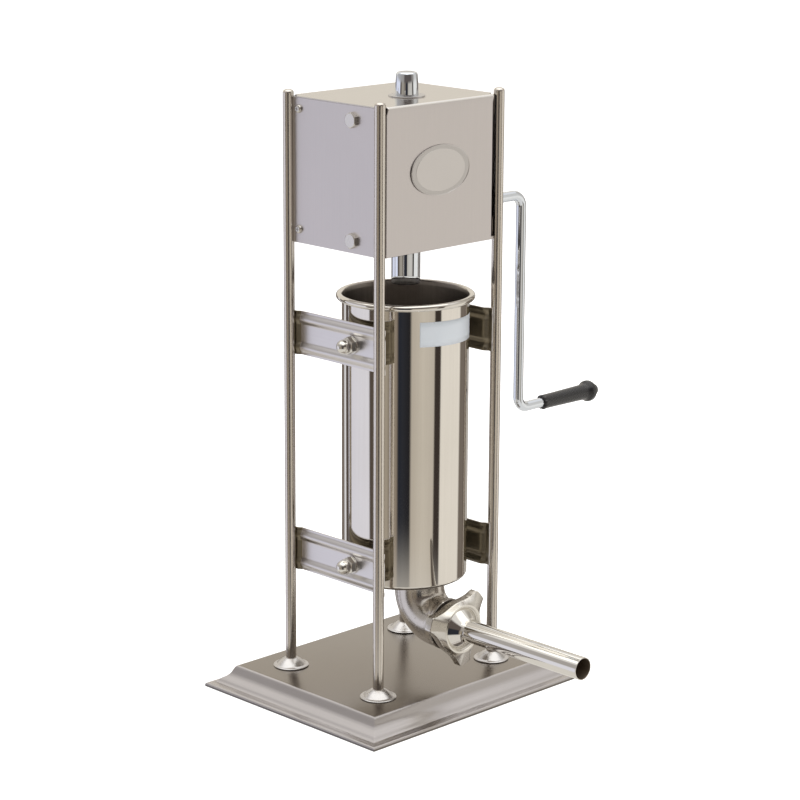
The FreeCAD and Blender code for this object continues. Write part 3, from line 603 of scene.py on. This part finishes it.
def grown_ring(bm, edges, matrix):
    """Extrudes an edge loop and moves the new loop by matrix."""
    verts, fresh = grown(bm, edges)
    bmesh.ops.transform(bm, matrix=matrix, verts=verts)
    return fresh


def bent_loop(bm, edges, centre, axis, degrees, steps):
    """Sweeps an edge loop round a bend and returns the last loop."""
    verts = list({vert for edge in edges for vert in edge.verts})
    made = bmesh.ops.spin(bm, geom=verts + edges, cent=centre, axis=axis, angle=math.radians(degrees),
                          steps=steps, use_merge=False, use_duplicate=False)["geom_last"]
    return [item for item in made if isinstance(item, bmesh.types.BMEdge)]


def scaled_about(centre, factors):
    grow = Matrix.Diagonal((factors[0], factors[1], factors[2], 1.0))
    return Matrix.Translation(centre) @ grow @ Matrix.Translation(-Vector(centre))


def outlet_casting():
    """Elbow: collar under the cylinder, tight bend, shoulder ring and threaded end."""
    low, high = span("outlet_elbow")
    top = high.z
    front = low.y
    level = OUTLET_Z
    hinge = Vector((0, OUTLET_Y - OUTLET_BEND, level + OUTLET_BEND))
    radius = 28.3
    bm = bmesh.new()
    bmesh.ops.create_circle(bm, segments=96, radius=radius, cap_ends=False,
                            matrix=Matrix.Translation((0, OUTLET_Y, top)))
    edges = bm.edges[:]
    outer_top = edges
    centre = Vector((0, OUTLET_Y, top))
    for drop, wanted in ((3.0, 28.3), (4.0, 28.1), (6.2, 27.8), (11.5, 27.8)):
        grow = scaled_about(centre, (wanted / radius, wanted / radius, 1))
        edges = grown_ring(bm, edges, Matrix.Translation((0, 0, top - drop - centre.z)) @ grow)
        centre = Vector((0, OUTLET_Y, top - drop))
        radius = wanted
    edges = bent_loop(bm, edges, hinge, RIGHT, -90, 28)
    centre = Vector((0, OUTLET_Y - OUTLET_BEND, level))
    reach = [(84.0, 27.9), (85.0, 28.6), (88.6, 28.6), (89.4, 27.8), (89.6, 24.0)]
    groove = 90.4
    while groove < -front - 2.4:
        reach += [(groove, 23.9), (groove + 0.7, 24.9), (groove + 1.3, 24.9), (groove + 2.0, 23.9)]
        groove += 2.6
    reach += [(-front - 0.6, 23.9), (-front, 23.4), (-front, OUTLET_BORE), (OUTLET_BACK, OUTLET_BORE)]
    for out, wanted in reach:
        grow = scaled_about(centre, (wanted / radius, 1, wanted / radius))
        edges = grown_ring(bm, edges, Matrix.Translation((0, -out - centre.y, 0)) @ grow)
        centre = Vector((0, -out, level))
        radius = wanted
    edges = bent_loop(bm, edges, hinge, RIGHT, 90, 28)
    edges = grown_ring(bm, edges, Matrix.Translation((0, 0, top - hinge.z)))
    bmesh.ops.bridge_loops(bm, edges=edges + outer_top)
    bmesh.ops.recalc_face_normals(bm, faces=bm.faces)
    for face in bm.faces:
        face.material_index = 1 if face.calc_center_median().y < -89.0 else 0
    piece("outlet_casting", bm, [CAST, CAST_THREAD], "frame", ["outlet_elbow"], sharp=40.0)


WING_FLANK = [(0.0, 1.0), (9.0, 0.99), (10.2, 0.95), (12.0, 0.80), (14.5, 0.63), (17.5, 0.49), (21.5, 0.34),
              (26.5, 0.22), (32.5, 0.12), (40.0, 0.05), (50.0, 0.01), (60.0, 0.0)]


def wing_share(angle):
    """1 over the tip of a wing, falling along its hollow flank to 0 between two wings."""
    away = (math.degrees(angle) - 43.0) % 120.0
    away = min(away, 120.0 - away)
    for (turn_a, share_a), (turn_b, share_b) in zip(WING_FLANK, WING_FLANK[1:]):
        if away <= turn_b:
            return share_a + (share_b - share_a) * (away - turn_a) / (turn_b - turn_a)
    return 0.0


def wing_nut():
    """Cast nut with three wings: straight sided behind, drafted down to a round face in front."""
    low, high = span("wing_nut")
    back = high.y
    depth = high.y - low.y

    def ring(body, tip, height):
        return lambda angle: (body + (tip - body) * wing_share(angle), height)
    rings = [
        ring(25.3, 25.3, 0.4), ring(26.0, 26.0, 0.0), ring(28.9, 44.8, 0.3), ring(29.3, 45.7, 0.9),
        ring(29.5, 46.0, 1.8), ring(29.5, 46.0, 9.9), ring(29.3, 45.6, 10.5), ring(28.9, 44.4, 10.95),
        ring(28.3, 36.8, 13.6), ring(27.6, 29.6, 16.3), ring(27.3, 27.8, depth), ring(25.4, 25.4, depth),
        ring(24.7, 24.7, depth - 0.7), ring(24.4, 24.4, depth - 2.0), ring(23.6, 23.6, depth - 2.6),
        ring(23.6, 23.6, depth - 3.4), ring(25.3, 25.3, depth - 3.4),
    ]
    rings.append(rings[0])
    bm = stacked(rings, Vector((0, back, OUTLET_Z)), FRONT, segments=240, closed=(False, False))
    bmesh.ops.remove_doubles(bm, verts=bm.verts, dist=0.001)
    bmesh.ops.recalc_face_normals(bm, faces=bm.faces)
    piece("wing_nut_casting", bm, CAST_NUT, "nut", ["wing_nut"], sharp=18.0)


def stuffing_tube():
    low, high = span("stuffing_tube")
    seat = high.y
    length = high.y - low.y
    r = 12.4
    bore = r - 0.9
    outer = [(24.6, 0.0), (24.6, 1.4, 0.2), (23.4, 1.6, 0.2), (14.6, 11.2), (13.9, 12.1), (13.3, 13.2),
             (12.85, 14.4), (12.55, 15.6), (r, 17.0), (r, length, 0.25)]
    inner = [(bore, length, 0.25), (bore, 16.6), (11.7, 14.6), (12.3, 12.6), (13.4, 10.6), (21.8, 1.6),
             (OUTLET_BORE, 0.0), (24.6, 0.0)]
    bm = turned(outer + inner, Vector((0, seat, OUTLET_Z)), FRONT, steps=128)
    # Faces of the bore past the funnel take the dark bore steel, which is painted shade.
    for face in bm.faces:
        at = face.calc_center_median()
        inner_face = math.hypot(at.x, at.z - OUTLET_Z) < bore + 0.2 and at.y < seat - 17.0
        face.material_index = 1 if inner_face else 0
    piece("stuffing_horn", bm, [TUBE, SHADED_BORE], "tube", ["stuffing_tube"], sharp=45.0)


def blank_label():
    """Thin blank film bent round the cylinder, laid a touch out of level."""
    low, high = span("cylinder_label")
    bm = bmesh.new()
    bmesh.ops.create_grid(bm, x_segments=64, y_segments=4, size=1.0)
    outer_r = POT_R + 0.12
    for vert in bm.verts:
        share = (vert.co.x + 1.0) / 2.0
        angle = math.radians(238.0 + 77.0 * share)
        height = (low.z + high.z) / 2.0 + 0.9 - 2.2 * share + vert.co.y * 13.6
        vert.co = (outer_r * math.cos(angle), AXIS_Y + outer_r * math.sin(angle), height)
    bmesh.ops.recalc_face_normals(bm, faces=bm.faces)
    if bm.faces[0].normal.y > 0:
        bmesh.ops.reverse_faces(bm, faces=bm.faces)
    film = piece("blank_label_film", bm, LABEL, "frame", ["cylinder_label"])
    sheet_wall(film, "film", 0.1)


# ---------------------------------------------------------------- gear box outside

def front_badge():
    """Oval plate: bright rounded lip, dull border band and a plain field."""
    low, high = span("front_badge")
    centre = Vector(((low.x + high.x) / 2, high.y, (low.z + high.z) / 2))
    wide = (high.x - low.x) / 2
    tall = (high.z - low.z) / 2
    bm = turned([(0, 1.3), (tall - 4.7, 1.3), (tall - 4.5, 1.12), (tall - 1.0, 1.12), (tall - 0.8, 1.3),
                 (tall - 0.45, 1.5), (tall - 0.1, 1.4), (tall, 1.0), (tall - 0.1, 0.8), (tall - 1.0, 0.5),
                 (tall - 1.0, 0.0)], Vector((0, 0, 0)), FRONT, steps=128)
    for face in bm.faces:
        middle_r = face.calc_center_median().length
        face.material_index = 1 if tall - 4.6 < middle_r < tall - 0.95 else 0
    bmesh.ops.scale(bm, vec=(wide / tall, 1, 1), verts=bm.verts)
    bmesh.ops.translate(bm, vec=centre, verts=bm.verts)
    piece("blank_badge", bm, [BADGE, BADGE_BORDER], "frame", ["front_badge"], sharp=20.0)


def sheet_run():
    """Side view of the folded cover as (y, z) points: up the front, over the top, down the rear."""
    low, high = span("gearbox_cover")
    front = [(low.y, low.z), (low.y, low.z + 40.0), (low.y, high.z - FOLD_R - 6.0)]
    for step in range(9):
        angle = math.radians(180.0 - 11.25 * step)
        front.append((low.y + FOLD_R * (1.0 + math.cos(angle)), high.z - FOLD_R * (1.0 - math.sin(angle))))
    notch = [(-y, high.z) for y in (69.6, 68.4, 67.0, 65.6, 64.3, 63.2, 62.3, 61.6, 61.1, 60.8, 60.0)]
    left_half = front + notch + [(AXIS_Y - 30.0, high.z)]
    right_half = [(-y, z) for y, z in (front + notch)[::-1]]
    return left_half + [(AXIS_Y + 30.0, high.z)] + right_half


def sheet_reach(y, z, high, side):
    """Reach of the cover to one side (-1 or 1), cut back round the posts."""
    if z < high.z - FOLD_R - 0.1:
        return 82.3 if side * y > 0 else 78.2
    across = POST_Y - abs(y)
    if across > NOTCH_R - 0.2:
        return high.x
    return POST_X - math.sqrt(NOTCH_R ** 2 - across ** 2)


def gearbox_cover():
    """Sheet folded over front and rear, notched at the posts, with the hole for the top bush."""
    low, high = span("gearbox_cover")
    run = sheet_run()
    columns = (-1.0, -0.97, -30.0, 30.0, 0.97, 1.0)
    bm = bmesh.new()
    bmesh.ops.create_grid(bm, x_segments=len(run) - 1, y_segments=len(columns) - 1, size=1.0)
    for vert in bm.verts:
        row = round((vert.co.x + 1.0) / 2.0 * (len(run) - 1))
        column = columns[round((vert.co.y + 1.0) / 2.0 * (len(columns) - 1))]
        y, z = run[row]
        reach = sheet_reach(y, z, high, math.copysign(1.0, column))
        x = column if abs(column) > 2.0 else column * reach
        vert.co = (x, y, z)
    bush_at = Vector((0, AXIS_Y, high.z))
    middle_face = min(bm.faces, key=lambda face: (face.calc_center_median() - bush_at).length)
    rim = list(middle_face.edges)
    bmesh.ops.delete(bm, geom=[middle_face], context="FACES_ONLY")
    made = bmesh.ops.create_circle(bm, segments=64, radius=17.0, cap_ends=False,
                                   matrix=Matrix.Translation(bush_at))
    hole = list({edge for vert in made["verts"] for edge in vert.link_edges})
    bmesh.ops.bridge_loops(bm, edges=rim + hole)
    bmesh.ops.recalc_face_normals(bm, faces=bm.faces)
    highest = max(bm.faces, key=lambda face: face.calc_center_median().z)
    if highest.normal.z < 0:
        bmesh.ops.reverse_faces(bm, faces=bm.faces)
    # The top face takes the lighter lid steel, which is painted light; the front and rear keep the panel steel.
    for face in bm.faces:
        level = face.calc_center_median().z
        # Faces in the top 2.3 mm of the fold take the near-white fold steel, a painted highlight.
        face.material_index = 1 if level > high.z - 0.02 else 2 if level > high.z - 2.3 else 0
    cover = piece("gearbox_cover_sheet", bm, [PANEL, LIT_LID, FOLD_HIGHLIGHT], "frame", ["gearbox_cover"],
                  sharp=60.0)
    sheet_wall(cover, "sheet", 1.5)
    broken_edges(cover, "worn_edges", 0.6, 3, 60)


def side_hex_bolts():
    bm = bmesh.new()
    low, high = span("side_hex_bolts")
    flat = 7.5
    head = 4.6
    corner = flat / math.cos(math.pi / 6)
    for level in (low.z + corner, high.z - corner):
        root = Vector((low.x + head, middle("side_hex_bolts").y, level))
        stacked(hex_rings(flat, head), root, LEFT, segments=72, into=bm)
    piece("side_hex_bolt_set", mirrored(bm), FASTENER, "frame", ["side_hex_bolts"],
          sharp=28.0)


def top_bush():
    low, high = span("top_bush")
    seat = high.z - 1.3
    ring = [(13.0, high.z, 0.3), (20.0, high.z, 0.5), (20.0, seat), (17.0, seat), (17.0, low.z, 0.4),
            (13.0, low.z, 0.3), (13.0, high.z - 0.3)]
    piece("top_bush_ring", turned(ring, Vector((0, AXIS_Y, 0)), steps=96), FLANGE, "frame", ["top_bush"])


# ---------------------------------------------------------------- ram, crank and grip

def ram():
    low, high = span("ram_rod")
    r = 12.95
    top = high.z
    rod = [(0, low.z), (r, low.z, 1.0), (r, top - 24.0), (12.85, top - 22.4), (12.3, top - 12.0),
           (11.6, top - 2.6), (11.2, top - 1.3), (10.3, top - 0.45), (8.9, top - 0.05), (0, top)]
    piece("inner_ram_bar", turned(rod, Vector((0, AXIS_Y, 0)), steps=96), CHROME, "inner_ram", ["ram_rod"],
          sharp=50.0)


def keyed_ring(radius, height):
    """Ring with the two keyway slots of the outer ram stage."""
    def ring(angle):
        off = abs(abs(math.degrees(angle)) - 90.0)
        return (14.6 if off < 9.1 else radius, height)
    return ring


def outer_ram():
    low, high = span("ram_sleeve")
    total = high.z - low.z
    slot = 50.0
    rings = [round_ring(13.0, 0.0), round_ring(15.3, 0.0), round_ring(15.7, 0.2), round_ring(15.92, 0.55),
             round_ring(16.0, 1.0), round_ring(16.0, slot - 1.0), round_ring(16.0, slot), keyed_ring(16.0, slot),
             keyed_ring(16.0, total - 0.8), keyed_ring(15.2, total), round_ring(13.0, total)]
    rings.append(rings[0])
    bm = stacked(rings, Vector((0, AXIS_Y, low.z)), UP, segments=160, closed=(False, False))
    bmesh.ops.remove_doubles(bm, verts=bm.verts, dist=0.001)
    bmesh.ops.recalc_face_normals(bm, faces=bm.faces)
    piece("outer_ram_sleeve", bm, CHROME, "outer_ram", ["ram_sleeve"], sharp=50.0)


def crank_bar():
    low, high = span("crank_rod")
    r = 5.75
    bend = 14.0
    start = Vector((low.x, AXIS_Y, high.z - r))
    arm_x = CRANK_X
    end_z = low.z + r
    bm = bmesh.new()
    bmesh.ops.create_circle(bm, segments=48, radius=r, cap_ends=True, matrix=standing_on(start, RIGHT))
    edges = bm.edges[:]
    edges = grown_ring(bm, edges, Matrix.Translation((arm_x - bend - start.x, 0, 0)))
    edges = bent_loop(bm, edges, Vector((arm_x - bend, AXIS_Y, start.z - bend)), (0, 1, 0), 90, 20)
    edges = grown_ring(bm, edges, Matrix.Translation((0, 0, end_z + 2 * bend - start.z)))
    edges = bent_loop(bm, edges, Vector((arm_x + bend, AXIS_Y, end_z + bend)), (0, -1, 0), 90, 20)
    edges = grown_ring(bm, edges, Matrix.Translation((high.x - arm_x - bend, 0, 0)))
    bmesh.ops.contextual_create(bm, geom=edges)
    bmesh.ops.recalc_face_normals(bm, faces=bm.faces)
    piece("crank_bar", bm, CHROME, "crank", ["crank_rod"], sharp=50.0)


def hand_grip():
    """Moulded grip: notched inner end, slim waist and flared outer end."""
    low, high = span("crank_grip")
    origin = Vector((low.x, AXIS_Y, (low.z + high.z) / 2))
    total = high.x - low.x

    def notched(radius, height, depth):
        return lambda angle: (radius - depth * (0.5 + 0.5 * math.cos(9 * angle)) ** 3, height)
    rings = [
        round_ring(5.85, 0.2), notched(7.2, 0.0, 0.5), notched(8.2, 0.5, 1.0), notched(8.6, 1.5, 1.2),
        notched(8.7, 3.0, 1.0), notched(8.5, 4.2, 0.5), round_ring(8.35, 5.2), round_ring(8.3, 8.0),
        round_ring(8.5, 30.0), round_ring(8.85, 52.0), round_ring(9.1, 68.0), round_ring(9.35, 73.0),
        round_ring(9.9, 75.4), round_ring(10.8, 76.8), round_ring(11.8, 77.7), round_ring(12.35, 78.8),
        round_ring(12.5, 80.2), round_ring(12.5, 82.6), round_ring(12.2, 84.2), round_ring(11.5, 85.6),
        round_ring(10.4, 87.2), round_ring(9.3, 88.6), round_ring(8.4, total - 0.2), round_ring(7.6, total),
        round_ring(5.85, total), round_ring(5.85, 0.2),
    ]
    bm = stacked(rings, origin, RIGHT, segments=108, closed=(False, False))
    bmesh.ops.remove_doubles(bm, verts=bm.verts, dist=0.001)
    bmesh.ops.recalc_face_normals(bm, faces=bm.faces)
    piece("hand_grip", bm, GRIP, "grip", ["crank_grip"], sharp=55.0)


def dress_carried_nodes():
    """Materials for the nodes that keep their own shape."""
    finishes = {
        "gearbox_side_left": PANEL, "gearbox_side_right": PANEL, "gearbox_tray": PANEL,
        "gearbox_cleats": PANEL, "side_pan_screws": FASTENER, "cylinder_bosses": FASTENER,
        "bracket_studs": FASTENER, "post_washers": FASTENER, "post_nuts": FASTENER, "outlet_gasket": SEAL,
        "ram_nut": BRONZE, "ram_nut_rivets": FASTENER, "crown_washer": BRONZE, "crown_wheel": GEAR,
        "drive_pinion": GEAR, "drive_shaft": FASTENER, "bearing_housing": HOUSING, "shaft_bushes": BRONZE,
        "shaft_washer": NYLON, "lock_screw": FASTENER, "grip_screw": GRIP,
        "piston_plate": PISTON, "piston_seal": SEAL, "piston_boss": PISTON, "piston_valve": FASTENER,
    }
    for node, material in finishes.items():
        data = NODES[node].data
        data.materials.clear()
        data.materials.append(material)


# ---------------------------------------------------------------- studio

def build_world():
    """Studio ring: two soft boxes, dark gaps between them, bright ceiling and pale floor."""
    ring = [
        (0, (0.16, 0.13, 0.11)), (12, (0.16, 0.13, 0.11)), (14, (0.50, 0.47, 0.43)),
        (30, (0.50, 0.47, 0.43)), (34, (0.22, 0.19, 0.17)), (78, (0.20, 0.17, 0.15)),
        (80, (0.80, 0.80, 0.84)), (88, (0.80, 0.80, 0.84)), (90, (0.10, 0.08, 0.07)),
        (99, (0.10, 0.08, 0.07)), (101, (0.80, 0.80, 0.90)), (156, (0.84, 0.84, 0.92)),
        (158, (0.09, 0.07, 0.06)), (168, (0.12, 0.10, 0.08)), (176, (0.36, 0.31, 0.25)),
        (192, (0.42, 0.37, 0.30)), (200, (0.16, 0.13, 0.10)), (203, (0.34, 0.29, 0.23)),
        (210, (0.30, 0.25, 0.20)), (213, (0.022, 0.026, 0.038)), (221, (0.030, 0.032, 0.040)),
        (234, (0.020, 0.019, 0.021)), (237, (0.55, 0.50, 0.43)), (258, (0.66, 0.61, 0.53)),
        (279, (0.60, 0.55, 0.48)), (281, (0.05, 0.04, 0.035)), (292, (0.05, 0.04, 0.035)),
        (294, (0.90, 0.86, 0.79)), (341, (0.90, 0.86, 0.79)), (345, (0.20, 0.17, 0.145)),
    ]
    high_ring = [
        (0, (0.42, 0.39, 0.35)), (18, (0.80, 0.75, 0.67)), (100, (0.84, 0.79, 0.70)),
        (118, (0.50, 0.48, 0.47)), (188, (0.38, 0.35, 0.32)), (206, (0.12, 0.10, 0.09)),
        (262, (0.12, 0.10, 0.09)), (286, (0.30, 0.27, 0.24)), (312, (0.70, 0.67, 0.62)),
        (345, (0.60, 0.57, 0.52)), (358, (0.42, 0.39, 0.35)),
    ]
    world = bpy.data.worlds.new("studio")
    bpy.context.scene.world = world
    r = Recipe(world)
    direction = r.add("ShaderNodeTexCoord").out("Generated")
    parts = r.add("ShaderNodeSeparateXYZ", None, {0: direction})
    turn = parts.out(1).sum("ARCTAN2", parts.out(0)) / (2 * math.pi)
    share = turn.sum("FRACT")
    stops = [(degrees / 360.0, colour) for degrees, colour in ring]
    around = r.add("ShaderNodeValToRGB", {"stops": stops, "ramp_blend": "LINEAR"}, {0: share}).out()
    high_stops = [(degrees / 360.0, colour) for degrees, colour in high_ring]
    wall = r.add("ShaderNodeValToRGB", {"stops": high_stops, "ramp_blend": "EASE"}, {0: share}).out()
    height = parts.out(2)
    floor = r.blend(height.above(-0.52, -0.40), rgb(0.78, 0.75, 0.70), around)
    upper = r.blend(height.above(-0.03, 0.10), floor, wall)
    across = parts.out(0).sum("ABSOLUTE").sum("MAXIMUM", parts.out(1).sum("ABSOLUTE"))
    lean = across / height.sum("MAXIMUM", 0.05)
    overhead = height.above(0.05, 0.10) * (1.0 - lean.above(0.68, 0.80))
    halo = height.above(0.05, 0.10) * (1.0 - lean.above(1.05, 1.40))
    upper = r.blend(halo, upper, rgb(0.86, 0.84, 0.82))
    ceiling = r.blend(overhead, upper, rgb(1.60, 1.58, 1.52))
    rays = r.add("ShaderNodeLightPath")
    glossy = r.add("ShaderNodeBackground", None, {0: ceiling, 1: 1.0})
    soft = r.add("ShaderNodeBackground", None, {0: rgb(0.86, 0.85, 0.84), 1: 0.8})
    plain = r.add("ShaderNodeBackground", None, {0: rgb(1, 1, 1), 1: 1.0})
    lit = r.add("ShaderNodeMixShader", None, {0: rays.out("Is Diffuse Ray"), 1: glossy.out(), 2: soft.out()})
    seen = r.add("ShaderNodeMixShader", None, {0: rays.out("Is Camera Ray"), 1: lit.out(), 2: plain.out()})
    r.add("ShaderNodeOutputWorld", None, {"Surface": seen.out()})


def build_floor():
    def shader(r):
        patches = r.noise(r.place(), 1.5, 2.0, 0.5)
        colour = r.blend(patches, rgb(0.86, 0.86, 0.86), rgb(0.90, 0.90, 0.90))
        return {"Base Color": colour, "Roughness": 0.8, "Specular IOR Level": 0.1,
                "Emission Color": rgb(1, 1, 1), "Emission Strength": 0.55}
    bm = bmesh.new()
    bmesh.ops.create_circle(bm, segments=96, radius=9.0, cap_ends=True)
    mesh = bpy.data.meshes.new("floor")
    bm.to_mesh(mesh)
    bm.free()
    mesh.materials.append(surface("floor_paint", shader))
    floor = bpy.data.objects.new("floor", mesh)
    bpy.context.scene.collection.objects.link(floor)
    floor.location.z = -0.0003
    floor.visible_glossy = False


def soft_light(name, place, target, size, power):
    lamp = bpy.data.lights.new(name, "AREA")
    lamp.shape = "DISK"
    lamp.size = size
    lamp.energy = power
    obj = bpy.data.objects.new(name, lamp)
    obj.location = place
    obj.rotation_euler = (Vector(target) - Vector(place)).to_track_quat("-Z", "Y").to_euler()
    obj.visible_glossy = False
    bpy.context.scene.collection.objects.link(obj)


def build_camera():
    lens = bpy.data.cameras.new("camera")
    lens.sensor_width = 36.0
    lens.lens = 116.42
    lens.shift_x = -0.0288
    lens.shift_y = -0.0328
    lens.clip_end = 50.0
    camera = bpy.data.objects.new("camera", lens)
    aim = Euler((math.radians(90.0 - 13.654), 0.0, math.radians(-45.143))).to_matrix()
    aim = aim @ Matrix.Rotation(math.radians(0.419), 3, "Z")
    camera.matrix_world = Matrix.Translation((-1.9505, -1.9878, 1.0385)) @ aim.to_4x4()
    bpy.context.scene.collection.objects.link(camera)
    bpy.context.scene.camera = camera


def build_object():
    base_pan()
    posts_and_flanges()
    for node in ("bracket_lower_left", "bracket_lower_right", "bracket_upper_left", "bracket_upper_right"):
        bracket_strip(node)
    acorn_nuts()
    bracket_washers()
    meat_cylinder()
    outlet_casting()
    wing_nut()
    stuffing_tube()
    blank_label()
    front_badge()
    gearbox_cover()
    side_hex_bolts()
    top_bush()
    ram()
    outer_ram()
    crank_bar()
    hand_grip()
    dress_carried_nodes()


build_object()
build_world()
build_floor()
soft_light("ceiling_light", (0.2, -0.4, 2.6), (0, 0, 0.2), 2.4, 38)
soft_light("left_light", (-2.6, 0.4, 1.4), (0, 0, 0.3), 1.6, 12)
soft_light("right_light", (1.6, -2.6, 1.4), (0, 0, 0.3), 1.6, 12)
build_camera()
bpy.context.scene.view_settings.view_transform = "Standard"
